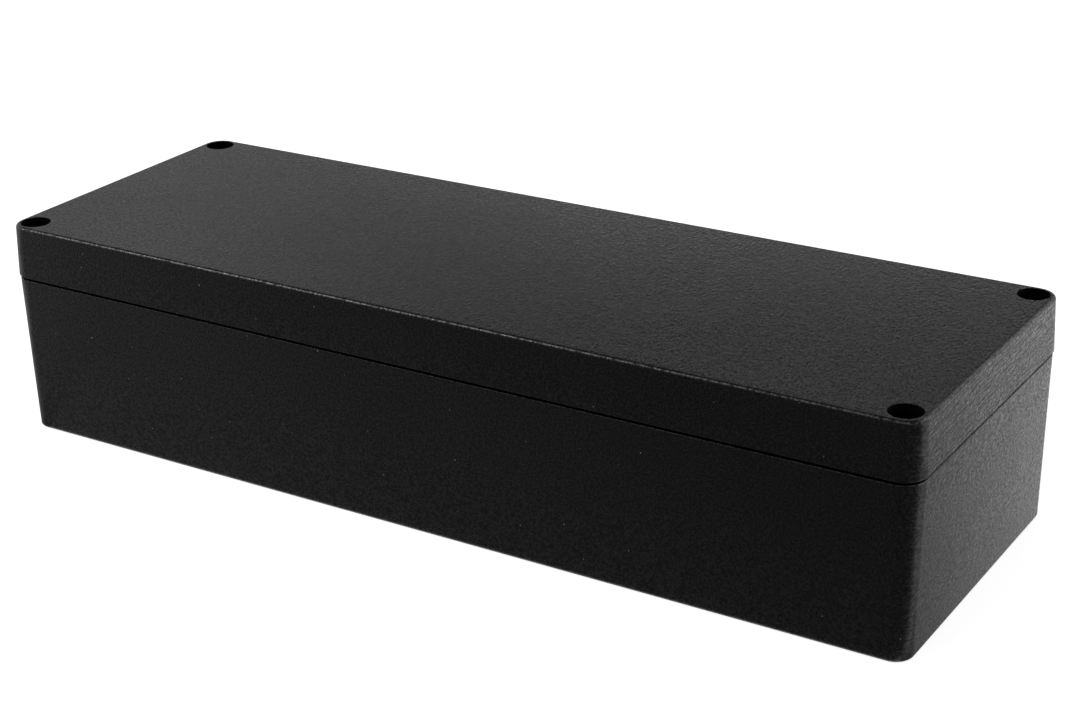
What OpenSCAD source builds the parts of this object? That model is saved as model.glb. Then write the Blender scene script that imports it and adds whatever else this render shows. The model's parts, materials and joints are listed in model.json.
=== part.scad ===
// Sealed die-cast aluminium enclosure: a deep base, a thick lid on a gasket and four captive lid screws.
// Lengths are in millimetres and angles in degrees. The origin is the centre of the underside,
// +Z points up, +X runs along the length and -Y faces the long front side.

/* [Outer body] */
// Length over the lid at the parting line
length = 360; // [300:1:500]
// Width over the lid at the parting line
width = 122; // [110:1:200]
// Height over base and lid
height = 81; // [60:0.5:120]
// Height of the lid alone
lid_height = 19.6; // [16:0.2:30]
// Open gap between lid and base along the parting line
parting_gap = 0.9; // [0.3:0.1:1.2]
// How far the lid stands out past the base all round
lid_overhang = 0.4; // [0:0.05:0.5]
// Radius of the upright corners at the parting line
corner_radius = 8; // [5:0.5:16]
// Draft of the base's walls, inside and outside
base_draft = 1; // [0.5:0.1:2]
// Draft of the lid's walls, inside and outside
lid_draft = 2.2; // [0.5:0.1:3]
// Rounding of the lid's top edge
top_edge_radius = 1.2; // [0.4:0.1:3]
// Rounding of the base's bottom edge
bottom_edge_radius = 1.2; // [0.4:0.1:3]
// Rounding of the two edges that face each other across the parting line
rim_edge_radius = 0.4; // [0.2:0.1:1.2]

/* [Walls] */
// Thickness of the upright walls at the parting line
wall = 5; // [4.6:0.1:6]
// Thickness of the base's floor
floor_thickness = 4.5; // [3:0.5:8]
// Thickness of the lid's top
top_thickness = 4; // [2.5:0.5:7]
// Rounding where the walls run into the floor, and in the lid into the top
floor_fillet = 1.5; // [0.5:0.1:2]
// Least radius of the upright inside corners, down at the floor
inner_fillet = 1; // [0.5:0.1:1.5]

/* [Seal] */
// Lip between the hollow and the gasket groove
groove_lip = 1; // [0.6:0.1:1.2]
// Width of the gasket groove in the lid
groove_width = 2.6; // [2.2:0.1:3]
// Depth of the gasket groove in the lid
groove_depth = 4; // [3:0.1:6]
// Width of the base's tongue, which stands into the groove
tongue_width = 1.6; // [1:0.1:1.8]
// Height of the tongue above the base's rim
tongue_height = 2.4; // [1.5:0.1:3]
// Play between the gasket and each side of its groove
gasket_play = 0.1; // [0.05:0.05:0.3]

/* [Lid screws] */
// Distance of the lid screws from the lid's outer faces
screw_inset = 8; // [7.5:0.5:9]
// Bore of the wells that the screw heads sink into
well_diameter = 11; // [10.4:0.1:12]
// Lid metal left below the screw heads
seat_thickness = 5.5; // [4.5:0.5:8]
// Thread diameter of the lid screws
screw_diameter = 6; // [5.5:0.5:7]
// Length of thread on a lid screw
thread_length = 12; // [8:1:16]
// How far the thread starts below the base's rim
thread_start = 1; // [0.5:0.5:4]
// Diameter of the plain waist that keeps a screw captive
waist_diameter = 4.6; // [4:0.1:5]
// Radial clearance of the waist in the lid's tapped hole
waist_play = 0.2; // [0.1:0.05:0.3]
// Diameter of the cheese head
head_diameter = 10; // [9:0.1:10.2]
// Height of the cheese head
head_height = 3.9; // [3:0.1:6]
// Chamfers on the head's rim and the thread's tip
screw_chamfer = 0.6; // [0.2:0.1:1]
// Width of the screwdriver slot
slot_width = 1.6; // [1:0.1:2.5]
// Depth of the screwdriver slot
slot_depth = 1.8; // [1:0.1:2.4]
// Radial clearance between a screw and the base's tapped hole
thread_play = 0.05; // [0.02:0.01:0.1]
// Depth of the base's tapped holes below the thread's tip
tapped_spare = 5; // [1:0.5:10]
// Chamfer at the mouth of each tapped hole
lead_in = 0.6; // [0.2:0.1:1]

/* [Fixing holes] */
// Distance of the fixing holes from the lid's end faces
fixing_inset_x = 10; // [9.5:0.5:14]
// Distance of the fixing holes from the lid's side faces
fixing_inset_y = 20; // [19:0.5:26]
// Diameter of the fixing holes
fixing_hole = 6.5; // [4:0.1:8]
// Bore of the wells above the fixing holes, which take the bolt heads
fixing_well = 10.8; // [9:0.1:11.4]
// Metal below the bolt heads
fixing_floor = 6; // [4:0.5:12]
// Wall of the column between a fixing well and the sealed hollow
column_wall = 4.6; // [4.2:0.1:6]
// Depth of the core-outs in the lid above the fixing wells
relief_depth = 12; // [6:0.5:14]

/* [Floor bosses] */
// Distance of the bosses from the lid's end faces
boss_inset_x = 30; // [28:1:60]
// Distance of the bosses from the lid's side faces
boss_inset_y = 17; // [15:0.5:30]
// Diameter of a boss
boss_diameter = 10; // [8:0.5:14]
// Height of a boss above the floor
boss_height = 5; // [2:0.5:12]
// Bore of the tapped hole in a boss
boss_hole = 4; // [2.5:0.1:6]
// Floor left below the tapped hole of a boss
boss_hole_floor = 2.5; // [1.5:0.5:5]

/* [Hidden] */
// Flat steps that make up each rounded outer edge
edge_steps = 6;
// Flat steps that make up each rounded inner edge
fillet_steps = 3;
// How far a cut runs past the face that it opens
overshoot = 1;
// Smoothness of round bores and shafts
$fn = 64;

// Lengths rounded to a micrometre, so that pieces built side by side meet without a slit.
function to_micron(value) = round(value * 1000) / 1000;

base_height = height - lid_height - parting_gap;
lid_bottom = base_height + parting_gap;
lid_half_x = length / 2;
lid_half_y = width / 2;
base_half_x = lid_half_x - lid_overhang;
base_half_y = lid_half_y - lid_overhang;
base_hollow = base_height - floor_thickness;
lid_hollow = lid_height - top_thickness;

// Inside corners are widest at the rim, because the walls lean outwards to release the casting.
base_lean = rounding_centre(floor_fillet, base_hollow - floor_fillet, base_draft).x;
lid_lean = rounding_centre(floor_fillet, lid_hollow - floor_fillet, lid_draft).x;
rim_fillet = to_micron(inner_fillet + max(base_lean, lid_lean));

screw_x = lid_half_x - screw_inset;
screw_y = lid_half_y - screw_inset;
fixing_x = lid_half_x - fixing_inset_x;
fixing_y = lid_half_y - fixing_inset_y;
boss_x = lid_half_x - boss_inset_x;
boss_y = lid_half_y - boss_inset_y;

// The sealed hollow's edge at the rim: side walls, end walls and the columns in the four corners.
side_y = lid_half_y - wall;
end_x = lid_half_x - wall;
column_radius = fixing_well / 2 + column_wall;
column_x = fixing_x - column_radius;
column_y = fixing_y - column_radius;

// The tongue stands in the middle of the groove, and the gasket fills the groove above it.
tongue_inner = groove_lip + (groove_width - tongue_width) / 2;
gasket_bottom = base_height + tongue_height;
gasket_top = lid_bottom + groove_depth;

seat_z = lid_bottom + seat_thickness;
thread_top = base_height - thread_start;
thread_bottom = thread_top - thread_length;
boss_top = floor_thickness + boss_height;

// Corner names, with the side of each along X and Y.
CORNERS = [["front_left", -1, -1], ["front_right", 1, -1], ["rear_left", -1, 1], ["rear_right", 1, 1]];
// Quarter turns round the outline: the side along X and Y, and the angle where the quarter starts.
QUARTERS = [[1, 1, 0], [-1, 1, 90], [-1, -1, 180], [1, -1, 270]];

SCREW_NODES = [for (corner = CORNERS) str("lid_screw_", corner[0])];

// Points of a circular arc in steps.
function arc(centre, radius, from, to, steps) =
    [for (i = [0 : steps])
        let (angle = from + (to - from) * i / steps)
        [to_micron(centre.x + radius * cos(angle)), to_micron(centre.y + radius * sin(angle))]];

// Centre of a rounding that touches a drafted side at height z, as [inset, height].
function rounding_centre(radius, z, draft) = [radius / cos(draft) + z * tan(draft), z];

// Rounding between a drafted side and its narrow end at the given depth.
function far_rounding(depth, draft, radius, steps) =
    arc(rounding_centre(radius, depth - radius, draft), radius, 180 - draft, 90, steps);

// Outside of a drafted wall, as [inset, height] points from its widest face to its narrow end.
function outer_side(depth, draft, near_radius, far_radius) = concat(
    arc(rounding_centre(near_radius, near_radius, draft), near_radius, 270, 180 - draft, edge_steps),
    far_rounding(depth, draft, far_radius, edge_steps));

// Side of a drafted hollow, run out past its mouth to cut it open.
function hollow_side(depth, draft) = concat(
    [[to_micron(-overshoot * tan(draft)), -overshoot]],
    far_rounding(depth, draft, floor_fillet, fillet_steps));

// Side of an upright band.
function upright_side(bottom, top) = [[0, bottom], [0, top]];

// Full cross-section between two mirrored sides.
module cross_section(half, side) {
    right = [for (point = side) [half - point.x, point.y]];
    left = [for (i = [len(side) - 1 : -1 : 0]) [side[i].x - half, side[i].y]];
    polygon(concat(right, left));
}

// Half of a cross-section, from the axis of an outer corner to its side.
module corner_section(radius, side) {
    outer = [for (point = side) [radius - point.x, point.y]];
    polygon(concat(outer, [[0, side[len(side) - 1].y], [0, side[0].y]]));
}

// The space beside a column's round edge, from its side out to the given reach.
module column_section(radius, side, reach) {
    inner = [for (point = side) [radius + point.x, point.y]];
    polygon(concat(inner, [[reach, side[len(side) - 1].y], [reach, side[0].y]]));
}

// Box with drafted walls and round upright corners.
module drafted_box(half_x, half_y, radius, side) {
    run_x = half_x - radius;
    run_y = half_y - radius;
    rotate([90, 0, 90])
        linear_extrude(2 * run_x, center = true) cross_section(half_y, side);
    rotate([90, 0, 0])
        linear_extrude(2 * run_y, center = true) cross_section(half_x, side);
    for (quarter = QUARTERS)
        translate([quarter.x * run_x, quarter.y * run_y, 0])
            rotate(quarter.z) rotate_extrude(angle = 90) corner_section(radius, side);
}

// The sealed hollow, offset outwards by margin: a wide middle, narrower ends and round columns between them.
module sealed_region(margin, side) {
    fillet = rim_fillet + margin;
    reach = 1.5 * (column_radius + rim_fillet);
    drafted_box(column_x + margin, side_y + margin, fillet, side);
    drafted_box(end_x + margin, column_y + margin, fillet, side);
    for (quarter = QUARTERS)
        translate([quarter.x * fixing_x, quarter.y * fixing_y, 0])
            rotate(quarter.z + 180) rotate_extrude(angle = 90)
                column_section(column_radius - margin, side, reach);
}

// Band that follows the seal, between two margins from the hollow's edge.
module seal_band(inner, outer, bottom, top) {
    difference() {
        sealed_region(outer, upright_side(bottom, top));
        sealed_region(inner, upright_side(bottom - overshoot, top + overshoot));
    }
}

// Copies of a thing in all four corners.
module at_corners(x, y) {
    for (corner = CORNERS)
        translate([corner[1] * x, corner[2] * y, 0]) children();
}

// The base: drafted walls, a sealed hollow, corner columns, floor bosses and the seal's tongue.
module base() {
    color("#2b2b2b")
    difference() {
        union() {
            base_shell();
            at_corners(boss_x, boss_y)
                translate([0, 0, floor_thickness - overshoot])
                    cylinder(h = boss_height + overshoot, d = boss_diameter);
            seal_band(tongue_inner, tongue_inner + tongue_width,
                base_height - overshoot, base_height + tongue_height);
        }
        at_corners(screw_x, screw_y)
            translate([0, 0, base_height]) mirror([0, 0, 1])
                tapped_hole(screw_diameter / 2 + thread_play, thread_length + thread_start + tapped_spare);
        at_corners(fixing_x, fixing_y) fixing_bore();
        at_corners(boss_x, boss_y)
            translate([0, 0, boss_hole_floor]) cylinder(h = boss_top, d = boss_hole);
    }
}

// Drafted walls of the base round its sealed hollow, hanging down from the rim.
module base_shell() {
    outside = outer_side(base_height, base_draft, rim_edge_radius, bottom_edge_radius);
    translate([0, 0, base_height]) mirror([0, 0, 1])
        difference() {
            drafted_box(base_half_x, base_half_y, corner_radius - lid_overhang, outside);
            sealed_region(0, hollow_side(base_hollow, base_draft));
        }
}

// Tapped hole with a chamfered mouth, running upwards from the face that it opens.
module tapped_hole(radius, depth) {
    translate([0, 0, -overshoot]) cylinder(h = depth + overshoot, r = radius);
    cylinder(h = lead_in, r1 = radius + lead_in, r2 = radius);
    translate([0, 0, -overshoot]) cylinder(h = overshoot, r = radius + lead_in);
}

// Fixing hole through the base, with the well that takes the bolt's head.
module fixing_bore() {
    translate([0, 0, -overshoot]) cylinder(h = base_height, d = fixing_hole);
    translate([0, 0, fixing_floor]) cylinder(h = base_height, d = fixing_well);
}

// The lid: drafted walls, a shallow hollow, the gasket groove and the four screw wells.
module lid() {
    outside = outer_side(lid_height, lid_draft, rim_edge_radius, top_edge_radius);
    color("#303030")
    translate([0, 0, lid_bottom])
        difference() {
            drafted_box(lid_half_x, lid_half_y, corner_radius, outside);
            sealed_region(0, hollow_side(lid_hollow, lid_draft));
            seal_band(groove_lip, groove_lip + groove_width, -overshoot, groove_depth);
            at_corners(screw_x, screw_y) screw_well();
            at_corners(fixing_x, fixing_y)
                translate([0, 0, -overshoot]) cylinder(h = relief_depth + overshoot, d = fixing_well);
        }
}

// Well for the screw head, above the tapped hole that keeps the screw captive: the thread is turned
// through it once, and the waist then hangs loose in it.
module screw_well() {
    translate([0, 0, seat_thickness]) cylinder(h = lid_height, d = well_diameter);
    tapped_hole(waist_diameter / 2 + waist_play, lid_height);
}

// The gasket, which fills the lid's groove above the tongue.
module gasket() {
    color("#1a1a1a")
    seal_band(groove_lip + gasket_play, groove_lip + groove_width - gasket_play, gasket_bottom, gasket_top);
}

// One captive lid screw: slotted cheese head, plain waist and thread, turned about its axis.
module lid_screw(corner) {
    thread_radius = screw_diameter / 2;
    waist_radius = waist_diameter / 2;
    head_radius = head_diameter / 2;
    head_top = seat_z + head_height;
    profile = [
        [0, thread_bottom],
        [thread_radius - screw_chamfer, thread_bottom],
        [thread_radius, thread_bottom + screw_chamfer],
        [thread_radius, thread_top - (thread_radius - waist_radius)],
        [waist_radius, thread_top],
        [waist_radius, seat_z],
        [head_radius, seat_z],
        [head_radius, head_top - screw_chamfer],
        [head_radius - screw_chamfer, head_top],
        [0, head_top]
    ];
    color("#b8b8b4")
    translate([corner[1] * screw_x, corner[2] * screw_y, 0])
        difference() {
            rotate_extrude() polygon(profile);
            translate([-head_diameter, -slot_width / 2, head_top - slot_depth])
                cube([2 * head_diameter, slot_width, slot_depth + overshoot]);
        }
}

base();
lid();
gasket();
for (corner = CORNERS)
    lid_screw(corner);
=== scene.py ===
"""Finishes a sealed die-cast aluminium enclosure and sets it up in a small photo studio.

The file is laid out as a Blender add-on and is run as a script. It takes every place on the object from
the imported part, in metres, and adds the coat, the bare bores, the rubber, the threaded screws and the
studio.
"""

import json
import math

import bmesh
import bpy
from bpy.props import FloatProperty, FloatVectorProperty, IntProperty, PointerProperty
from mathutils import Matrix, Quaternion, Vector


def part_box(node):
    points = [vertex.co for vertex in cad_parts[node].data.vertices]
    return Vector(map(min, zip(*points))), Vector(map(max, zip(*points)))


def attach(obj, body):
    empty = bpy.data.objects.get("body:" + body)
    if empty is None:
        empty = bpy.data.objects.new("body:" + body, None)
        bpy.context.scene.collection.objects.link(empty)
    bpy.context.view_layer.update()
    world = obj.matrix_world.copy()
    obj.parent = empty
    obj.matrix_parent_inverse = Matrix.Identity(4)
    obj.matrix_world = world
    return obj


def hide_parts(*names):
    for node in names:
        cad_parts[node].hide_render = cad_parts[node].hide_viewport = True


bl_info = {
    "name": "Die-cast enclosure",
    "version": (1, 0, 0),
    "blender": (4, 5, 0),
    "location": "3D View > Sidebar > Enclosure",
    "description": "Finishes a sealed die-cast enclosure and lights it for a product picture",
    "category": "Object",
}

MM = 0.001
WHITE = (1, 1, 1)
BLACK = (0, 0, 0)
SMOOTH_EDGES = "Shade shallow edges smooth"
# Most values of a noise pattern lie between these two
NOISE_LOW = 0.3
NOISE_HIGH = 0.7
# How far the nets reach over the floor, in metres
NET_REACH = 1.6

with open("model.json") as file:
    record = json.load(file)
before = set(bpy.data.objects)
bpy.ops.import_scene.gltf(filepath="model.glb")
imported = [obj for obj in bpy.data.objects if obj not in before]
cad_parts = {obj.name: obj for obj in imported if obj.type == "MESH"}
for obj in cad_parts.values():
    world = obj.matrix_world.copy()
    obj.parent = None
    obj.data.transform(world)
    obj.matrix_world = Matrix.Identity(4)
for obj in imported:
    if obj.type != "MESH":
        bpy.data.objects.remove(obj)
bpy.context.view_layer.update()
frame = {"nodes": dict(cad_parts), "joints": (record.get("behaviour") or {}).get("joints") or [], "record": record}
lid_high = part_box("lid")[1]
base_low, base_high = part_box("base")
screw_joints = [joint for joint in frame["joints"] if joint["type"] == "hinge"]
bolt_patterns = [mount for mount in frame["record"]["mounts"] if mount["kind"] == "bolt_pattern"]


def linear(hex_colour):
    """Linear red, green and blue of an sRGB hex colour."""
    channels = [int(hex_colour[i:i + 2], 16) / 255 for i in (1, 3, 5)]
    return [c / 12.92 if c <= 0.04045 else ((c + 0.055) / 1.055) ** 2.4 for c in channels]


def opaque(colour):
    """A colour as the four values that a colour socket takes."""
    return (*colour, 1.0)


# Settings that a user would change


class CoatSettings(bpy.types.PropertyGroup):
    """Textured powder coat of the two castings."""

    colour: FloatVectorProperty(
        name="Colour", description="Colour of the baked coat between its grains",
        subtype="COLOR", min=0, max=1, default=linear("#161616"))
    grain_colour: FloatVectorProperty(
        name="Grain colour", description="Colour of the grains' tops",
        subtype="COLOR", min=0, max=1, default=linear("#191919"))
    # Lighter colour on the lid's rounded top edges: partly worn, thin coat and partly a painted highlight
    worn_and_highlight_colour: FloatVectorProperty(
        name="Rubbed colour", description="Colour of the thin coat on the lid's rounded edges",
        subtype="COLOR", min=0, max=1, default=linear("#2a2a29"))
    dust_colour: FloatVectorProperty(
        name="Dust colour", description="Colour of the dust specks on the coat",
        subtype="COLOR", min=0, max=1, default=linear("#9a9995"))
    # Painted shade: near black colour in the lid's wells, the parting gap and on the base's upward faces
    recess_shade_colour: FloatVectorProperty(
        name="Well colour", description="Colour of the thin coat in the wells and the parting gap",
        subtype="COLOR", min=0, max=1, default=linear("#060606"))
    pit_gloss: FloatVectorProperty(
        name="Pit gloss", description="Tint of what the pits between the grains mirror",
        subtype="COLOR", min=0, max=1, default=linear("#8c8c8c"))
    # Reflection on rounded edges dimmed: partly pits in the grain and partly painted shade on the edge highlight
    edge_shade_gloss: FloatVectorProperty(
        name="Edge pit gloss", description="Tint of what the pits on rounded edges mirror",
        subtype="COLOR", min=0, max=1, default=linear("#626262"))
    roughness: FloatProperty(
        name="Roughness", description="Roughness of the coat between its grains",
        subtype="FACTOR", min=0, max=1, default=0.32)
    polish: FloatProperty(
        name="Polish", description="How far the roughness of single grains differs from the rest",
        subtype="FACTOR", min=0, max=1, default=0.12)
    grain: FloatProperty(
        name="Grain", description="Width of the sandy grains",
        unit="LENGTH", min=0, default=0.8 * MM, precision=5)
    grain_aspect: FloatProperty(
        name="Grain aspect", description="Width of a grain over its length from front to back",
        subtype="FACTOR", min=0, max=1, default=0.45)
    grain_height: FloatProperty(
        name="Grain height", description="Height of the sandy grains",
        unit="LENGTH", min=0, default=0.1 * MM, precision=5)
    side_grain_height: FloatProperty(
        name="Side grain height", description="Height of the grains on the long sides",
        unit="LENGTH", min=0, default=0.032 * MM, precision=5)
    cloud: FloatProperty(
        name="Cloud", description="Width of the patches where the coat lies thicker or thinner",
        unit="LENGTH", min=0, default=38 * MM, precision=5)
    cloud_change: FloatProperty(
        name="Cloud change", description="How far the roughness of the patches differs from the rest",
        subtype="FACTOR", min=0, max=1, default=0.02)
    dust_spacing: FloatProperty(
        name="Dust spacing", description="Mean distance between specks of dust in space",
        unit="LENGTH", min=0, default=4.2 * MM, precision=5)
    dust_size: FloatProperty(
        name="Dust size", description="Radius of the largest specks of dust",
        unit="LENGTH", min=0, default=0.2 * MM, precision=5)
    streak_length: FloatProperty(
        name="Streak length", description="Length of the grinding marks under the coat of the lid's ends",
        unit="LENGTH", min=0, default=9 * MM, precision=5)
    streak_width: FloatProperty(
        name="Streak width", description="Width of one grinding mark",
        unit="LENGTH", min=0, default=0.7 * MM, precision=5)
    streak_depth: FloatProperty(
        name="Streak depth", description="Depth of the grinding marks, in heights of a grain",
        min=0, default=1.4)


class MetalSettings(bpy.types.PropertyGroup):
    """Bare metal in the bores and on the screws."""

    bore_colour: FloatVectorProperty(
        name="Bore colour", description="Colour of the aluminium that drilling lays bare",
        subtype="COLOR", min=0, max=1, default=linear("#c9c8c6"))
    bore_roughness: FloatProperty(
        name="Bore roughness", description="Roughness of the drilled aluminium",
        subtype="FACTOR", min=0, max=1, default=0.3)
    screw_colour: FloatVectorProperty(
        name="Screw colour", description="Colour of the stainless steel",
        subtype="COLOR", min=0, max=1, default=linear("#b9b5ae"))
    turning_pitch: FloatProperty(
        name="Turning pitch", description="Distance between the rings that the lathe leaves on a screw",
        unit="LENGTH", min=0, default=0.25 * MM, precision=5)


class ScrewSettings(bpy.types.PropertyGroup):
    """Captive cheese-head screw."""

    thread_diameter: FloatProperty(
        name="Thread diameter", description="Outer diameter of the thread",
        unit="LENGTH", min=0, default=6 * MM, precision=5)
    thread_pitch: FloatProperty(
        name="Thread pitch", description="Rise of the thread in one turn",
        unit="LENGTH", min=0, default=1 * MM, precision=5)
    thread_depth: FloatProperty(
        name="Thread depth", description="Height of the thread's ridge",
        unit="LENGTH", min=0, default=0.55 * MM, precision=5)
    thread_length: FloatProperty(
        name="Thread length", description="Length of the threaded end",
        unit="LENGTH", min=0, default=12 * MM, precision=5)
    waist_diameter: FloatProperty(
        name="Waist diameter", description="Diameter of the plain waist that hangs in the lid",
        unit="LENGTH", min=0, default=4.6 * MM, precision=5)
    head_clearance: FloatProperty(
        name="Head clearance", description="Gap between a screw's head and the wall of its well",
        unit="LENGTH", min=0, default=0.5 * MM, precision=5)
    chamfer: FloatProperty(
        name="Chamfer", description="Chamfer on the head's rim and at the thread's tip",
        unit="LENGTH", min=0, default=0.6 * MM, precision=5)
    slot_width: FloatProperty(
        name="Slot width", description="Width of the screwdriver slot",
        unit="LENGTH", min=0, default=1.6 * MM, precision=5)
    slot_depth: FloatProperty(
        name="Slot depth", description="Depth of the screwdriver slot",
        unit="LENGTH", min=0, default=1.8 * MM, precision=5)
    sides: IntProperty(
        name="Sides", description="Facets round the screw", min=12, default=48)
    rows_per_turn: IntProperty(
        name="Rows per turn", description="Rows of facets in one turn of the thread", min=4, default=10)


class RubberSettings(bpy.types.PropertyGroup):
    """Foam rubber of the gasket."""

    colour: FloatVectorProperty(
        name="Colour", description="Colour of the rubber",
        subtype="COLOR", min=0, max=1, default=linear("#1d1d1e"))
    pore: FloatProperty(
        name="Pore", description="Width of the foam's closed pores",
        unit="LENGTH", min=0, default=0.4 * MM, precision=5)


class StudioSettings(bpy.types.PropertyGroup):
    """Floor, nets, curtains, lamps and camera."""

    floor_colour: FloatVectorProperty(
        name="Floor colour", description="Colour of the pale floor",
        subtype="COLOR", min=0, max=1, default=linear("#f2f2f2"))
    floor_glow: FloatProperty(
        name="Floor glow", description="White that the camera sees on the floor beside its own light",
        min=0, default=0.7)
    net_colour: FloatVectorProperty(
        name="Net colour", description="Colour of the nets and curtains that keep light off the coat",
        subtype="COLOR", min=0, max=1, default=linear("#141414"))
    ambient: FloatProperty(
        name="Ambient", description="Even light of the white room",
        min=0, default=0.35)
    top_lamp_power: FloatProperty(
        name="Top lamp power", description="Power of the softbox above the front left",
        unit="POWER", min=0, default=10)
    top_lamp_place: FloatVectorProperty(
        name="Top lamp place", description="Middle of the softbox above the front left",
        subtype="TRANSLATION", default=(-1.05, -0.9, 1.18))
    top_lamp_size: FloatVectorProperty(
        name="Top lamp size", description="Width and height of the softbox above the front left",
        unit="LENGTH", min=0, size=2, default=(0.7, 0.5))
    side_lamp_power: FloatProperty(
        name="Side lamp power", description="Power of the softbox on the right",
        unit="POWER", min=0, default=6)
    side_lamp_place: FloatVectorProperty(
        name="Side lamp place", description="Middle of the softbox on the right",
        subtype="TRANSLATION", default=(1.3, 0.5, 0.5))
    side_lamp_size: FloatVectorProperty(
        name="Side lamp size", description="Width and height of the softbox on the right",
        unit="LENGTH", min=0, size=2, default=(0.9, 0.7))
    camera_azimuth: FloatProperty(
        name="Camera azimuth", description="Turn of the camera from the front to the right",
        subtype="ANGLE", default=math.radians(32.31))
    camera_elevation: FloatProperty(
        name="Camera elevation", description="Height of the camera above the horizon",
        subtype="ANGLE", default=math.radians(23.15))
    camera_roll: FloatProperty(
        name="Camera roll", description="Tilt of the camera about its line of sight",
        subtype="ANGLE", default=math.radians(-1.3))
    camera_distance: FloatProperty(
        name="Camera distance", description="Distance from the camera to what it aims at",
        unit="LENGTH", default=774.9 * MM)
    camera_aim: FloatVectorProperty(
        name="Camera aim", description="Point in the middle of the picture",
        subtype="TRANSLATION", default=(9.1 * MM, 6.1 * MM, 41.2 * MM))
    camera_lens: FloatProperty(
        name="Camera lens", description="Focal length in millimetres on a sensor 36 mm wide",
        default=72.57)


# Nodes, meshes and objects


def add_node(tree, kind, settings=None, inputs=None):
    """Adds a node with its settings, and gives its inputs values or links from sockets or other nodes."""
    node = tree.nodes.new(kind)
    for name, value in (settings or {}).items():
        setattr(node, name, value)
    for key, value in (inputs or {}).items():
        socket = next(s for s in node.inputs if s.identifier == key)
        if isinstance(value, bpy.types.Node):
            value = next(s for s in value.outputs if s.enabled)
        if isinstance(value, bpy.types.NodeSocket):
            tree.links.new(value, socket)
        else:
            socket.default_value = value
    return node


def new_material(name):
    """An empty material and its node tree."""
    material = bpy.data.materials.new(name)
    material.use_nodes = True
    material.node_tree.nodes.clear()
    return material, material.node_tree


def set_material(obj, material):
    """Makes a material the object's only one."""
    obj.data.materials.clear()
    obj.data.materials.append(material)


def link_object(name, data):
    """A new object in the scene."""
    obj = bpy.data.objects.new(name, data)
    bpy.context.scene.collection.objects.link(obj)
    return obj


def mesh_object(name, bm):
    """A new mesh object from a bmesh, which is freed."""
    mesh = bpy.data.meshes.new(name)
    bm.to_mesh(mesh)
    bm.free()
    return link_object(name, mesh)


def smooth_edges_group():
    """Node group that shades shallow edges smooth, so that rounded edges and bores look round."""
    weld_distance = 0.002 * MM
    sharp_angle = math.radians(33)
    group = bpy.data.node_groups.new(SMOOTH_EDGES, "GeometryNodeTree")
    group.interface.new_socket("Geometry", in_out="INPUT", socket_type="NodeSocketGeometry")
    group.interface.new_socket("Geometry", in_out="OUTPUT", socket_type="NodeSocketGeometry")
    start = add_node(group, "NodeGroupInput")
    joined = add_node(group, "GeometryNodeMergeByDistance", None, {
        "Geometry": start, "Distance": weld_distance})
    plain = add_node(group, "GeometryNodeRemoveAttribute", None, {
        "Geometry": joined, "Name": "custom_normal"})
    angle = add_node(group, "GeometryNodeInputMeshEdgeAngle")
    shallow = add_node(group, "ShaderNodeMath", {"operation": "LESS_THAN"}, {
        "Value": angle.outputs["Unsigned Angle"], "Value_001": sharp_angle})
    smooth = add_node(group, "GeometryNodeSetShadeSmooth", {"domain": "FACE"}, {
        "Geometry": plain, "Shade Smooth": True})
    edges = add_node(group, "GeometryNodeSetShadeSmooth", {"domain": "EDGE"}, {
        "Geometry": smooth, "Shade Smooth": shallow})
    add_node(group, "NodeGroupOutput", None, {"Socket_1": edges})
    return group


def finish_node(name, material):
    """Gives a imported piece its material, shades its rounded edges smooth and keeps its flat faces flat."""
    if name not in frame["nodes"]:
        raise RuntimeError(f"The packed part has no node {name}")
    piece = frame["nodes"][name]
    smooth = piece.modifiers.new(SMOOTH_EDGES, "NODES")
    smooth.node_group = bpy.data.node_groups.get(SMOOTH_EDGES) or smooth_edges_group()
    flat = piece.modifiers.new("Keep flat faces flat", "WEIGHTED_NORMAL")
    flat.mode = "FACE_AREA"
    flat.weight = 100
    flat.keep_sharp = True
    set_material(piece, material)


# Powder coat


def bore_mask(tree, place, bores):
    """1 inside the upright bores, given as (x, y, radius) in one quarter of the box, and 0 elsewhere."""
    folded = add_node(tree, "ShaderNodeVectorMath", {"operation": "ABSOLUTE"}, {"Vector": place})
    mask = None
    for x, y, radius in bores:
        offset = add_node(tree, "ShaderNodeVectorMath", {"operation": "SUBTRACT"}, {
            "Vector": folded, "Vector_001": (x, y, 0)})
        across = add_node(tree, "ShaderNodeVectorMath", {"operation": "MULTIPLY"}, {
            "Vector": offset, "Vector_001": (1, 1, 0)})
        reach = add_node(tree, "ShaderNodeVectorMath", {"operation": "LENGTH"}, {
            "Vector": across})
        inside = add_node(tree, "ShaderNodeMath", {"operation": "LESS_THAN"}, {
            "Value": reach, "Value_001": radius})
        if mask:
            inside = add_node(tree, "ShaderNodeMath", {"operation": "MAXIMUM"}, {
                "Value": mask, "Value_001": inside})
        mask = inside
    return mask


def bare_metal(tree, place, facing, bores):
    """1 where drilling laid the metal bare, but not on the underside below a blind bore, and 0 elsewhere."""
    looks_down = -0.5
    drilled = bore_mask(tree, place, bores)
    not_below = add_node(tree, "ShaderNodeMath", {"operation": "GREATER_THAN"}, {
        "Value": facing.outputs["Z"], "Value_001": looks_down})
    return add_node(tree, "ShaderNodeMath", {"operation": "MULTIPLY"}, {
        "Value": drilled, "Value_001": not_below})


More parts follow.
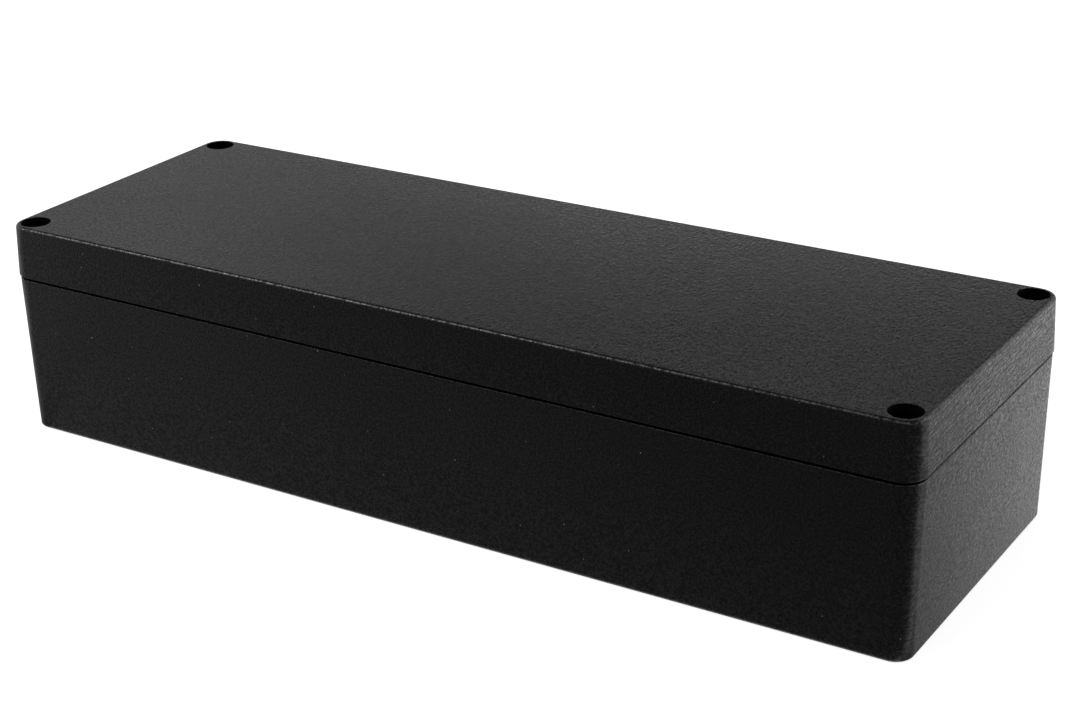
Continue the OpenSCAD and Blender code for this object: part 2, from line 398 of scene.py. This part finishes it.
def grinding_marks(tree, place, facing):
    """Height of the grinding marks along the lid's ends, in heights of a grain, and 0 on other sides."""
    coat = bpy.context.scene.enclosure_coat
    leaves_corner = 0.8
    reaches_end = 0.98
    marks_per_metre = (1 / coat.streak_width, 1 / coat.streak_length, 1 / coat.streak_width)
    stretched = add_node(tree, "ShaderNodeVectorMath", {"operation": "MULTIPLY"}, {
        "Vector": place, "Vector_001": marks_per_metre})
    pattern = add_node(tree, "ShaderNodeTexNoise", None, {
        "Vector": stretched, "Scale": 1.0, "Detail": 1.0})
    height = add_node(tree, "ShaderNodeMapRange", {"clamp": False}, {
        "Value": pattern, "To Min": -coat.streak_depth, "To Max": coat.streak_depth})
    sideways = add_node(tree, "ShaderNodeMath", {"operation": "ABSOLUTE"}, {"Value": facing.outputs["X"]})
    on_end = add_node(tree, "ShaderNodeMapRange", None, {
        "Value": sideways, "From Min": leaves_corner, "From Max": reaches_end})
    return add_node(tree, "ShaderNodeMath", {"operation": "MULTIPLY"}, {
        "Value": height, "Value_001": on_end})


def rounded_edge(tree, facing):
    """1 on rounded top edges, which look neither sideways nor straight up, and 0 elsewhere."""
    leaves_wall = 0.15
    clear_of_wall = 0.35
    nears_top = 0.65
    reaches_top = 0.8
    off_wall = add_node(tree, "ShaderNodeMapRange", {"interpolation_type": "SMOOTHSTEP"}, {
        "Value": facing.outputs["Z"], "From Min": leaves_wall, "From Max": clear_of_wall})
    off_top = add_node(tree, "ShaderNodeMapRange", {"interpolation_type": "SMOOTHSTEP"}, {
        "Value": facing.outputs["Z"], "From Min": reaches_top, "From Max": nears_top})
    return add_node(tree, "ShaderNodeMath", {"operation": "MULTIPLY"}, {
        "Value": off_wall, "Value_001": off_top})


def upward_faces(tree, facing):
    """1 on faces that look up, apart from the rounded rim of the ends, and 0 elsewhere."""
    leaves_wall = 0.5
    looks_up = 0.7
    most_sideways = 0.2
    sideways = add_node(tree, "ShaderNodeMath", {"operation": "ABSOLUTE"}, {"Value": facing.outputs["X"]})
    not_sideways = add_node(tree, "ShaderNodeMath", {"operation": "LESS_THAN"}, {
        "Value": sideways, "Value_001": most_sideways})
    return add_node(tree, "ShaderNodeMapRange", {"interpolation_type": "SMOOTHSTEP"}, {
        "Value": facing.outputs["Z"], "From Min": leaves_wall, "From Max": looks_up,
        "To Max": not_sideways})


def dust_specks(tree, place):
    """1 on specks of dust, one at most in each cell of the pattern, most of them too deep to show."""
    coat = bpy.context.scene.enclosure_coat
    cells = add_node(tree, "ShaderNodeTexVoronoi", None, {
        "Vector": place, "Scale": 1 / coat.dust_spacing, "Randomness": 1.0})
    chance = add_node(tree, "ShaderNodeSeparateColor", None, {"Color": cells.outputs["Color"]})
    reach = add_node(tree, "ShaderNodeMath", {"operation": "MULTIPLY"}, {
        "Value": chance.outputs["Red"], "Value_001": coat.dust_size / coat.dust_spacing})
    return add_node(tree, "ShaderNodeMath", {"operation": "LESS_THAN"}, {
        "Value": cells.outputs["Distance"], "Value_001": reach})


def coat_roughness(tree, place, grain_place):
    """Roughness of the coat, with patches of thicker and thinner coat and grains of different polish."""
    coat = bpy.context.scene.enclosure_coat
    polish_low = 0.35
    polish_scale = 1.5 / coat.grain
    smoothest = -0.7 * coat.polish
    cloud = add_node(tree, "ShaderNodeTexNoise", None, {
        "Vector": place, "Scale": 1 / coat.cloud, "Detail": 3.0, "Roughness": 0.6})
    patch = add_node(tree, "ShaderNodeMapRange", None, {
        "Value": cloud, "From Min": NOISE_LOW, "From Max": NOISE_HIGH,
        "To Min": coat.roughness - coat.cloud_change, "To Max": coat.roughness + coat.cloud_change})
    polish = add_node(tree, "ShaderNodeTexNoise", None, {
        "Vector": grain_place, "Scale": polish_scale, "Detail": 0.0})
    polish_change = add_node(tree, "ShaderNodeMapRange", None, {
        "Value": polish, "From Min": polish_low, "From Max": NOISE_HIGH,
        "To Min": smoothest, "To Max": coat.polish})
    return add_node(tree, "ShaderNodeMath", {"operation": "ADD"}, {
        "Value": patch, "Value_001": polish_change})


def grain_bump(tree, facing, relief):
    """Bump of the grain, which is lower on the long sides: they were sprayed square on."""
    coat = bpy.context.scene.enclosure_coat
    leaves_end = 0.15
    reaches_side = 0.45
    frontal = add_node(tree, "ShaderNodeMath", {"operation": "ABSOLUTE"}, {"Value": facing.outputs["Y"]})
    height = add_node(tree, "ShaderNodeMapRange", None, {
        "Value": frontal, "From Min": leaves_end, "From Max": reaches_side,
        "To Min": coat.grain_height, "To Max": coat.side_grain_height})
    return add_node(tree, "ShaderNodeBump", None, {
        "Strength": 1.0, "Distance": height, "Height": relief})


def lay_over(tree, colour, layers):
    """A colour with others laid over it in turn, each where its mask is 1."""
    for mask, layer in layers:
        colour = add_node(tree, "ShaderNodeMix", {"data_type": "RGBA"}, {
            "Factor_Float": mask, "A_Color": colour, "B_Color": opaque(layer)})
    return colour


def powder_coat(name, bores, wells):
    """Black polyester powder coat on cast aluminium, sprayed on as a powder and baked.

    To the eye it is a satin black with a fine sandy grain, which lights up where it is seen at a
    low angle. Pale dust sticks in its grain, its rounded edges look speckled with their reflection
    dimmed by painted shade, and drilled bores are bare bright metal. The wells, the parting gap and
    the base's upward faces get painted shade: near black colour, full roughness and no reflection.
    Only the lid has wells, ground ends and a lighter top edge, partly worn thin coat and partly a
    painted highlight.
    """
    coat = bpy.context.scene.enclosure_coat
    metal = bpy.context.scene.enclosure_metal
    on_lid = bool(wells)
    material, tree = new_material(name)
    coordinates = add_node(tree, "ShaderNodeTexCoord")
    place = coordinates.outputs["Object"]
    facing = add_node(tree, "ShaderNodeSeparateXYZ", None, {"Vector": coordinates.outputs["Normal"]})

    # The sandy grain is drawn as coarse as it needs to be to show in the picture, and longer from
    # front to back, because the top and the ends are seen at a low angle
    grain_place = add_node(tree, "ShaderNodeVectorMath", {"operation": "MULTIPLY"}, {
        "Vector": place, "Vector_001": (1, coat.grain_aspect, 1)})
    relief = add_node(tree, "ShaderNodeTexNoise", None, {
        "Vector": grain_place, "Scale": 1 / coat.grain, "Detail": 0.0})
    if on_lid:
        relief = add_node(tree, "ShaderNodeMath", {"operation": "ADD"}, {
            "Value": relief, "Value_001": grinding_marks(tree, place, facing)})
    grain_top = add_node(tree, "ShaderNodeMapRange", None, {
        "Value": relief, "From Min": NOISE_LOW, "From Max": NOISE_HIGH})
    edge = rounded_edge(tree, facing)

    # Painted shade: the lid's wells, the parting gap and the base's upward faces, its rim in the gap
    # and its floor, get a near black colour, full roughness and no reflection, where shade falls
    bare = bare_metal(tree, place, facing, bores)
    thin = bore_mask(tree, place, wells) if on_lid else upward_faces(tree, facing)
    recess_shade = add_node(tree, "ShaderNodeMath", {"operation": "SUBTRACT", "use_clamp": True}, {
        "Value": thin, "Value_001": bare})

    layers = [(grain_top, coat.grain_colour)]
    if on_lid:
        # Lighter colour on rounded top edges: partly worn, thin coat and partly a painted highlight
        worn_and_highlight = add_node(tree, "ShaderNodeMath", {"operation": "MULTIPLY"}, {
            "Value": edge, "Value_001": grain_top})
        layers.append((worn_and_highlight, coat.worn_and_highlight_colour))
    layers.append((dust_specks(tree, place), coat.dust_colour))
    layers.append((bare, metal.bore_colour))
    # Painted shade in the wells, the parting gap and on the base's upward faces
    layers.append((recess_shade, coat.recess_shade_colour))
    colour = lay_over(tree, opaque(coat.colour), layers)

    # Pits between the grains mirror less than the grains' tops. On rounded edges they mirror less still, painted
    # shade that dims the edge highlight, and the painted shade in the recesses mirrors nothing
    gloss = lay_over(tree, opaque(coat.pit_gloss), [
        (edge, coat.edge_shade_gloss), (grain_top, WHITE), (recess_shade, BLACK)])

    roughness = add_node(tree, "ShaderNodeMapRange", None, {
        "Value": bare, "To Min": coat_roughness(tree, place, grain_place), "To Max": metal.bore_roughness})
    # Full roughness in the painted shade
    roughness = add_node(tree, "ShaderNodeMapRange", None, {
        "Value": recess_shade, "To Min": roughness, "To Max": 1.0})
    shader = add_node(tree, "ShaderNodeBsdfPrincipled", None, {
        "Base Color": colour, "Roughness": roughness, "Metallic": bare, "IOR": 1.55,
        "Specular Tint": gloss, "Normal": grain_bump(tree, facing, relief)})
    add_node(tree, "ShaderNodeOutputMaterial", None, {"Surface": shader})
    return material


# Rubber and steel


def foam_rubber():
    """Foamed chloroprene rubber, cut and glued to an endless ring: matt black with fine closed pores."""
    rubber = bpy.context.scene.enclosure_rubber
    pore_wall = 0.6
    pore_roughness = 0.9
    wall_roughness = 0.7
    material, tree = new_material("Foamed chloroprene rubber")
    place = add_node(tree, "ShaderNodeTexCoord").outputs["Object"]
    pores = add_node(tree, "ShaderNodeTexVoronoi", None, {"Vector": place, "Scale": 1 / rubber.pore})
    bump = add_node(tree, "ShaderNodeBump", None, {
        "Strength": 0.7, "Distance": 0.1 * rubber.pore, "Height": pores.outputs["Distance"]})
    roughness = add_node(tree, "ShaderNodeMapRange", None, {
        "Value": pores.outputs["Distance"], "From Max": pore_wall,
        "To Min": pore_roughness, "To Max": wall_roughness})
    shader = add_node(tree, "ShaderNodeBsdfPrincipled", None, {
        "Base Color": opaque(rubber.colour), "Roughness": roughness, "IOR": 1.52, "Normal": bump})
    add_node(tree, "ShaderNodeOutputMaterial", None, {"Surface": shader})
    return material


def turned_steel():
    """Stainless steel turned on a lathe: bright grey metal with fine rings round the screw's axis."""
    metal = bpy.context.scene.enclosure_metal
    stain_width = 8 * metal.turning_pitch
    clean_roughness = 0.2
    stained_roughness = 0.42
    material, tree = new_material("Turned stainless steel")
    place = add_node(tree, "ShaderNodeTexCoord").outputs["Object"]
    across = add_node(tree, "ShaderNodeVectorMath", {"operation": "MULTIPLY"}, {
        "Vector": place, "Vector_001": (1, 1, 0)})
    reach = add_node(tree, "ShaderNodeVectorMath", {"operation": "LENGTH"}, {
        "Vector": across})
    turns = add_node(tree, "ShaderNodeMath", {"operation": "MULTIPLY"}, {
        "Value": reach, "Value_001": math.tau / metal.turning_pitch})
    rings = add_node(tree, "ShaderNodeMath", {"operation": "SINE"}, {"Value": turns})
    stain = add_node(tree, "ShaderNodeTexNoise", None, {
        "Vector": place, "Scale": 1 / stain_width, "Detail": 3.0})
    roughness = add_node(tree, "ShaderNodeMapRange", None, {
        "Value": stain, "To Min": clean_roughness, "To Max": stained_roughness})
    bump = add_node(tree, "ShaderNodeBump", None, {
        "Strength": 0.3, "Distance": 0.02 * MM, "Height": rings})
    shader = add_node(tree, "ShaderNodeBsdfPrincipled", None, {
        "Base Color": opaque(metal.screw_colour), "Metallic": 1.0,
        "Roughness": roughness, "Normal": bump})
    add_node(tree, "ShaderNodeOutputMaterial", None, {"Surface": shader})
    return material


# Screws


def first_screw():
    """Joint of the first screw, after which all of them are made."""
    if not screw_joints:
        raise RuntimeError("The packed part has no screws that turn")
    return screw_joints[0]


def screw_head_radius():
    """Radius of a packed screw's head, which is its widest part."""
    low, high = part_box(first_screw()["child"])
    return (high.x - low.x) / 2


def screw_bores(radius):
    """The bores on the screws' axes, in one quarter of the box."""
    x, y, _ = first_screw()["pos_m"]
    return [(abs(x), abs(y), radius)]


def thread_radius(screw, angle, z, bottom):
    """Radius of the thread at an angle and a height: a flat-topped ridge that rises a pitch in a turn."""
    steepness = 1.4
    turns = (z - bottom) / screw.thread_pitch - angle / math.tau
    flank = 1 - abs(2 * (turns % 1) - 1)
    ridge = min(1, steepness * flank)
    return screw.thread_diameter / 2 - screw.thread_depth * (1 - ridge)


def screw_rings(screw, bottom, seat, top, head_radius):
    """Yields rings of points from the screw's tip to the top of its head."""
    waist = screw.waist_diameter / 2
    tip = screw.thread_diameter / 2 - screw.chamfer
    thread_top = bottom + screw.thread_length
    run_out = screw.thread_diameter / 2 - waist
    step = screw.thread_pitch / screw.rows_per_turn
    rows = round((screw.thread_length - screw.chamfer - run_out) / step)
    # Heights with their radii, which the thread itself gives where there is none
    heights = [(bottom, tip)]
    heights += [(bottom + screw.chamfer + step * i, None) for i in range(rows + 1)]
    heights += [(thread_top, waist), (seat, waist), (seat, head_radius)]
    heights += [(top - screw.chamfer, head_radius), (top, head_radius - screw.chamfer)]
    for z, radius in heights:
        ring = []
        for i in range(screw.sides):
            angle = math.tau * i / screw.sides
            reach = thread_radius(screw, angle, z, bottom) if radius is None else radius
            ring.append((reach * math.cos(angle), reach * math.sin(angle), z))
        yield ring


def screw_body(screw, bottom, seat, top, head_radius):
    """Closed mesh of the screw before its slot is cut."""
    bm = bmesh.new()
    rings = [[bm.verts.new(point) for point in ring]
             for ring in screw_rings(screw, bottom, seat, top, head_radius)]
    for lower, upper in zip(rings, rings[1:]):
        for i in range(screw.sides):
            j = (i + 1) % screw.sides
            bm.faces.new((lower[i], lower[j], upper[j], upper[i]))
    bm.faces.new(reversed(rings[0]))
    bm.faces.new(rings[-1])
    return mesh_object("screw_body", bm)


def slot_cutter(screw, top, head_radius):
    """Block that cuts the screwdriver slot, twice as long as the head is wide."""
    bm = bmesh.new()
    bmesh.ops.create_cube(bm, size=1)
    size = Vector((4 * head_radius, screw.slot_width, 2 * screw.slot_depth))
    bmesh.ops.scale(bm, vec=size, verts=bm.verts)
    bmesh.ops.translate(bm, vec=(0, 0, top), verts=bm.verts)
    return mesh_object("slot_cutter", bm)


def slotted_screw_mesh(screw):
    """Mesh of a finished screw about its own axis, with its seat at height 0."""
    joint = first_screw()
    low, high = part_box(joint["child"])
    bottom = low.z - joint["pos_m"][2]
    top = high.z - joint["pos_m"][2]
    head_radius = screw_head_radius()
    sharp_angle = math.radians(35)
    tolerance = 0.01 * MM
    body = screw_body(screw, bottom, 0.0, top, head_radius)
    cutter = slot_cutter(screw, top, head_radius)
    cut = body.modifiers.new("Slot", "BOOLEAN")
    cut.object = cutter
    cut.operation = "DIFFERENCE"
    cut.solver = "EXACT"
    shape = body.evaluated_get(bpy.context.evaluated_depsgraph_get())
    mesh = bpy.data.meshes.new_from_object(shape)
    slot_floor = top - screw.slot_depth
    if not any(abs(vertex.co.z - slot_floor) < tolerance for vertex in mesh.vertices):
        raise RuntimeError("The screw's slot couldn't be cut")
    mesh.name = "lid_screw"
    mesh.shade_smooth()
    mesh.set_sharp_from_angle(angle=sharp_angle)
    for helper in (body, cutter):
        bpy.data.meshes.remove(helper.data)
    return mesh


# Studio


def flat_sheet(name, corners, material):
    """A flat sheet with these corners, which isn't part of the object."""
    bm = bmesh.new()
    bm.faces.new([bm.verts.new(corner) for corner in corners])
    sheet = mesh_object(name, bm)
    set_material(sheet, material)
    return sheet


def mirrored_sheet(name, corners, material):
    """A sheet that only reflections show."""
    sheet = flat_sheet(name, corners, material)
    sheet.visible_camera = False
    sheet.visible_diffuse = False
    sheet.visible_shadow = False


def right_of(direction):
    """The level direction at a right angle to the right of another."""
    return Vector((direction.y, -direction.x, 0))


def turned(direction, angle):
    """A level direction turned to its right."""
    return direction * math.cos(angle) + right_of(direction) * math.sin(angle)


def seen_directly(tree):
    """1 for what the camera sees, straight, in a mirror or through glass, and 0 for scattered light."""
    path = add_node(tree, "ShaderNodeLightPath")
    mirrored = add_node(tree, "ShaderNodeMath", {"operation": "ADD"}, {
        "Value": path.outputs["Is Camera Ray"], "Value_001": path.outputs["Is Glossy Ray"]})
    return add_node(tree, "ShaderNodeMath", {"operation": "ADD", "use_clamp": True}, {
        "Value": mirrored, "Value_001": path.outputs["Is Transmission Ray"]})


def white_paper():
    """Matt white paper: even and pale, and so well lit that only the foot of the box leaves a shadow."""
    studio = bpy.context.scene.enclosure_studio
    material, tree = new_material("Matt white paper")
    paper = add_node(tree, "ShaderNodeBsdfDiffuse", None, {"Color": opaque(studio.floor_colour)})
    glow_strength = add_node(tree, "ShaderNodeMath", {"operation": "MULTIPLY"}, {
        "Value": seen_directly(tree), "Value_001": studio.floor_glow})
    glow = add_node(tree, "ShaderNodeEmission", None, {"Strength": glow_strength})
    both = add_node(tree, "ShaderNodeAddShader", None, {
        "Shader": paper, "Shader_001": glow})
    add_node(tree, "ShaderNodeOutputMaterial", None, {"Surface": both})
    return material


def black_velvet():
    """Black velvet on a frame, which swallows nearly all light."""
    material, tree = new_material("Black velvet")
    velvet = add_node(tree, "ShaderNodeBsdfDiffuse", None, {
        "Color": opaque(bpy.context.scene.enclosure_studio.net_colour)})
    add_node(tree, "ShaderNodeOutputMaterial", None, {"Surface": velvet})
    return material


def straight_ramp(origin, across):
    """Function that adds nodes which run from 0 at origin to 1 at origin + across."""
    def ramp(tree, place):
        offset = add_node(tree, "ShaderNodeVectorMath", {"operation": "SUBTRACT"}, {
            "Vector": place, "Vector_001": origin})
        return add_node(tree, "ShaderNodeVectorMath", {"operation": "DOT_PRODUCT"}, {
            "Vector": offset, "Vector_001": across / across.length_squared}).outputs["Value"]
    return ramp


def turning_ramp(origin, first, turn):
    """Function that adds nodes which run from 0 in the direction first to 1 a turn to its right."""
    def ramp(tree, place):
        offset = add_node(tree, "ShaderNodeVectorMath", {"operation": "SUBTRACT"}, {
            "Vector": place, "Vector_001": origin})
        ahead = add_node(tree, "ShaderNodeVectorMath", {"operation": "DOT_PRODUCT"}, {
            "Vector": offset, "Vector_001": first})
        aside = add_node(tree, "ShaderNodeVectorMath", {"operation": "DOT_PRODUCT"}, {
            "Vector": offset, "Vector_001": right_of(first)})
        angle = add_node(tree, "ShaderNodeMath", {"operation": "ARCTAN2"}, {
            "Value": aside.outputs["Value"], "Value_001": ahead.outputs["Value"]})
        return add_node(tree, "ShaderNodeMath", {"operation": "DIVIDE"}, {
            "Value": angle, "Value_001": turn})
    return ramp


def black_net(name, ramp, start, end):
    """Black studio net that takes light out of reflections, and whose density runs from start to end."""
    material, tree = new_material(name)
    place = add_node(tree, "ShaderNodeTexCoord").outputs["Object"]
    density = add_node(tree, "ShaderNodeMapRange", None, {
        "Value": ramp(tree, place), "To Min": start, "To Max": end})
    clear = add_node(tree, "ShaderNodeBsdfTransparent")
    thread = add_node(tree, "ShaderNodeBsdfDiffuse", None, {
        "Color": opaque(bpy.context.scene.enclosure_studio.net_colour)})
    net = add_node(tree, "ShaderNodeMixShader", None, {
        "Fac": density, "Shader": clear, "Shader_001": thread})
    add_node(tree, "ShaderNodeOutputMaterial", None, {"Surface": net})
    return material


def wedge_net(name, corner, first, turn, start, end):
    """Net on the floor from one direction at a corner to another a turn to its right."""
    corners = [corner, corner + first * NET_REACH, corner + turned(first, turn) * NET_REACH]
    mirrored_sheet(name, corners, black_net(name, turning_ramp(corner, first, turn), start, end))


def lay_floor():
    """A wide white floor under the box."""
    reach = 20
    corners = [(-reach, -reach, 0), (reach, -reach, 0), (reach, reach, 0), (-reach, reach, 0)]
    flat_sheet("floor", corners, white_paper())


def lay_nets(studio):
    """Black nets on the floor round the box."""
    above_floor = 0.1 * MM
    tuck = 20 * MM
    left = base_low.x + tuck
    right = base_high.x - tuck
    under_front = base_low.y + tuck
    left_net_back = 0.6
    corner_turn = math.radians(25)
    near_turn = math.radians(30)
    # The right end mirrors the floor along away, and the front mirrors it along the opposite way
    away = Vector((math.sin(studio.camera_azimuth), math.cos(studio.camera_azimuth), 0))
    across = right_of(away)
    bend = turned(away, corner_turn)
    near_corner = Vector((base_high.x, base_low.y, above_floor))
    front_left = Vector((base_low.x, base_low.y, above_floor))
    end_far = near_corner + away * NET_REACH
    corner_far = near_corner + turned(bend, near_turn) * NET_REACH
    front_far = front_left - away * NET_REACH

    # The front is lighter at its foot and towards its left end
    front_fade_run = Vector((0.1163, -0.2059, 0))
    front_fade = straight_ramp(front_left, front_fade_run)
    mirrored_sheet("front_net", [
        front_left, front_far, (front_far.x, -NET_REACH, above_floor),
        (NET_REACH, -NET_REACH, above_floor), corner_far, near_corner],
        black_net("Black net in front", front_fade, start=0.75, end=1.0))

    # The left corner goes on from the front and gets lighter as it turns away
    left_fade_start = front_left - away * 0.5
    left_fade_run = across * -0.258 + away * 0.086
    left_fade = straight_ramp(left_fade_start, left_fade_run)
    mirrored_sheet("left_net", [
        (left, under_front, above_floor), (left, left_net_back, above_floor),
        (-NET_REACH, left_net_back, above_floor), (-NET_REACH, front_far.y, above_floor), front_far],
        black_net("Black net on the left", left_fade, start=1.0, end=0.57))

    # The right end is lighter towards the back
    right_fade_start = near_corner - across * 0.007 + away * 0.16
    right_fade_run = across * -0.068 - away * 0.01
    right_fade = straight_ramp(right_fade_start, right_fade_run)
    mirrored_sheet("right_net", [
        near_corner, end_far, (right, end_far.y, above_floor), (right, under_front, above_floor)],
        black_net("Black net on the right", right_fade, start=0.9, end=0.03))

    # The rounded corner is lightest where it turns from the end to the front
    wedge_net("corner_net", near_corner, away, corner_turn, start=0.75, end=0.2)
    wedge_net("near_net", near_corner, bend, near_turn, start=0.2, end=1.0)


def hang_front_curtain(velvet):
    """Low curtain in front, which the rounded edge of the top mirrors."""
    height = 0.35
    left = (-1.2, -1.1)
    right = (0.9, -1.5)
    mirrored_sheet("front_curtain", [(*left, 0), (*right, 0), (*right, height), (*left, height)], velvet)


def hang_top_curtain(velvet):
    """Curtain overhead, cut back at the front left, where the rounded edge mirrors more of the room."""
    height = 1.0
    left = -1.4
    right = 1.2
    front = -0.8
    back = 0.62
    cut_back = -0.4
    cut_start = -0.85
    cut_end = -0.6
    outline = [(left, cut_back), (cut_start, cut_back), (cut_end, front),
               (right, front), (right, back), (left, back)]
    mirrored_sheet("top_curtain", [(x, y, height) for x, y in outline], velvet)


def hang_back_net():
    """Net behind, which the top mirrors: tall on the left, and a band on the right."""
    left_end = Vector((-0.77, 0.27, 0))
    along = Vector((1, 0.34, 0))
    low = 0.02
    high = 0.8
    tall_end = 0.5
    band_start = 0.54
    band_low = 0.235
    band_high = 0.5
    fade_start = 0.27
    fade_length = 0.28
    outline = [(0, low), (band_start, band_low), (1, band_low), (1, band_high),
               (band_start, band_high), (tall_end, high), (0, high)]
    corners = [left_end + along * share + Vector((0, 0, height)) for share, height in outline]
    fade = straight_ramp(left_end + along * fade_start, along * fade_length)
    mirrored_sheet("back_net", corners, black_net("Black net behind", fade, start=0.54, end=1.0))


def add_softbox(name, place, size, power):
    """A rectangular lamp that points at the middle of the box."""
    lamp = bpy.data.lights.new(name, "AREA")
    lamp.shape = "RECTANGLE"
    lamp.size, lamp.size_y = size
    lamp.energy = power
    obj = link_object(name, lamp)
    obj.location = place
    obj.rotation_mode = "QUATERNION"
    middle = Vector((0, 0, lid_high.z / 2))
    obj.rotation_quaternion = (middle - Vector(place)).to_track_quat("-Z", "Y")


def light_room(scene, studio):
    """A white room: white where it is seen, and a softer even light on the object."""
    scene.world = bpy.data.worlds.new("White room")
    scene.world.use_nodes = True
    tree = scene.world.node_tree
    tree.nodes.clear()
    strength = add_node(tree, "ShaderNodeMapRange", None, {
        "Value": seen_directly(tree), "To Min": studio.ambient, "To Max": 1.0})
    room = add_node(tree, "ShaderNodeBackground", None, {
        "Color": opaque(WHITE), "Strength": strength})
    add_node(tree, "ShaderNodeOutputWorld", None, {"Surface": room})


def place_camera(scene, studio):
    """The photograph's camera, from its turn, height, distance and tilt."""
    level = math.cos(studio.camera_elevation)
    back = Vector((math.sin(studio.camera_azimuth) * level, -math.cos(studio.camera_azimuth) * level,
                   math.sin(studio.camera_elevation)))
    lens = bpy.data.cameras.new("camera")
    lens.lens = studio.camera_lens
    camera = link_object("camera", lens)
    camera.location = Vector(studio.camera_aim) + back * studio.camera_distance
    camera.rotation_mode = "QUATERNION"
    upright = (-back).to_track_quat("-Z", "Y")
    camera.rotation_quaternion = upright @ Quaternion((0, 0, 1), studio.camera_roll)
    scene.camera = camera


# Operators


class ENCLOSURE_OT_finish_base(bpy.types.Operator):
    """Coat the base and lay its drilled bores bare"""

    bl_idname = "enclosure.finish_base"
    bl_label = "Finish base"

    def execute(self, context):
        bare_margin = 0.1 * MM
        bores = screw_bores(context.scene.enclosure_screw.thread_diameter / 2 + bare_margin)
        for pattern in bolt_patterns:
            size = pattern["dims"]
            bores.append((size["spacing_x_mm"] / 2 * MM, size["spacing_y_mm"] / 2 * MM,
                          size["hole_r_mm"] * MM + bare_margin))
        finish_node("base", powder_coat("Black powder coat on base", bores, wells=[]))
        return {"FINISHED"}


class ENCLOSURE_OT_finish_lid(bpy.types.Operator):
    """Coat the lid over the grinding marks on its ends"""

    bl_idname = "enclosure.finish_lid"
    bl_label = "Finish lid"

    def execute(self, context):
        screw = context.scene.enclosure_screw
        bores = screw_bores(screw.thread_diameter / 2)
        wells = screw_bores(screw.head_clearance + screw_head_radius())
        finish_node("lid", powder_coat("Black powder coat on lid", bores, wells))
        return {"FINISHED"}


class ENCLOSURE_OT_finish_gasket(bpy.types.Operator):
    """Make the gasket of foam rubber"""

    bl_idname = "enclosure.finish_gasket"
    bl_label = "Finish gasket"

    def execute(self, context):
        finish_node("gasket", foam_rubber())
        return {"FINISHED"}


class ENCLOSURE_OT_add_screws(bpy.types.Operator):
    """Put a slotted screw with a real thread in each corner"""

    bl_idname = "enclosure.add_screws"
    bl_label = "Add screws"

    def execute(self, context):
        mesh = slotted_screw_mesh(context.scene.enclosure_screw)
        mesh.materials.append(turned_steel())
        for joint in screw_joints:
            node = joint["child"]
            piece = link_object(node.replace("lid_screw", "slotted_screw"), mesh)
            piece.location = joint["pos_m"]
            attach(piece, node)
            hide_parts(node)
        return {"FINISHED"}


class ENCLOSURE_OT_set_studio(bpy.types.Operator):
    """Set up the floor, the nets, the curtains, the lamps and the camera"""

    bl_idname = "enclosure.set_studio"
    bl_label = "Set up studio"

    def execute(self, context):
        studio = context.scene.enclosure_studio
        velvet = black_velvet()
        context.scene.view_settings.view_transform = "Standard"
        lay_floor()
        lay_nets(studio)
        hang_front_curtain(velvet)
        hang_top_curtain(velvet)
        hang_back_net()
        add_softbox("top_softbox", studio.top_lamp_place, studio.top_lamp_size, studio.top_lamp_power)
        add_softbox("side_softbox", studio.side_lamp_place, studio.side_lamp_size, studio.side_lamp_power)
        light_room(context.scene, studio)
        place_camera(context.scene, studio)
        return {"FINISHED"}


# Panel and registration


class ENCLOSURE_PT_panel(bpy.types.Panel):
    """Lists the steps that finish the enclosure"""

    bl_label = "Die-cast enclosure"
    bl_idname = "ENCLOSURE_PT_panel"
    bl_space_type = "VIEW_3D"
    bl_region_type = "UI"
    bl_category = "Enclosure"

    def draw(self, context):
        for operator in OPERATORS:
            self.layout.operator(operator.bl_idname)


SETTINGS = {
    "enclosure_coat": CoatSettings,
    "enclosure_metal": MetalSettings,
    "enclosure_screw": ScrewSettings,
    "enclosure_rubber": RubberSettings,
    "enclosure_studio": StudioSettings,
}
OPERATORS = (
    ENCLOSURE_OT_finish_base,
    ENCLOSURE_OT_finish_lid,
    ENCLOSURE_OT_finish_gasket,
    ENCLOSURE_OT_add_screws,
    ENCLOSURE_OT_set_studio,
)


def register():
    """Adds the settings, the operators and the panel."""
    for name, group in SETTINGS.items():
        bpy.utils.register_class(group)
        setattr(bpy.types.Scene, name, PointerProperty(type=group))
    for operator in OPERATORS:
        bpy.utils.register_class(operator)
    bpy.utils.register_class(ENCLOSURE_PT_panel)


def unregister():
    """Takes away what register adds."""
    bpy.utils.unregister_class(ENCLOSURE_PT_panel)
    for operator in reversed(OPERATORS):
        bpy.utils.unregister_class(operator)
    for name, group in SETTINGS.items():
        delattr(bpy.types.Scene, name)
        bpy.utils.unregister_class(group)


def main():
    """Registers the add-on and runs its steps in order."""
    register()
    bpy.ops.enclosure.finish_base()
    bpy.ops.enclosure.finish_lid()
    bpy.ops.enclosure.finish_gasket()
    bpy.ops.enclosure.add_screws()
    bpy.ops.enclosure.set_studio()


if __name__ == "__main__":
    main()
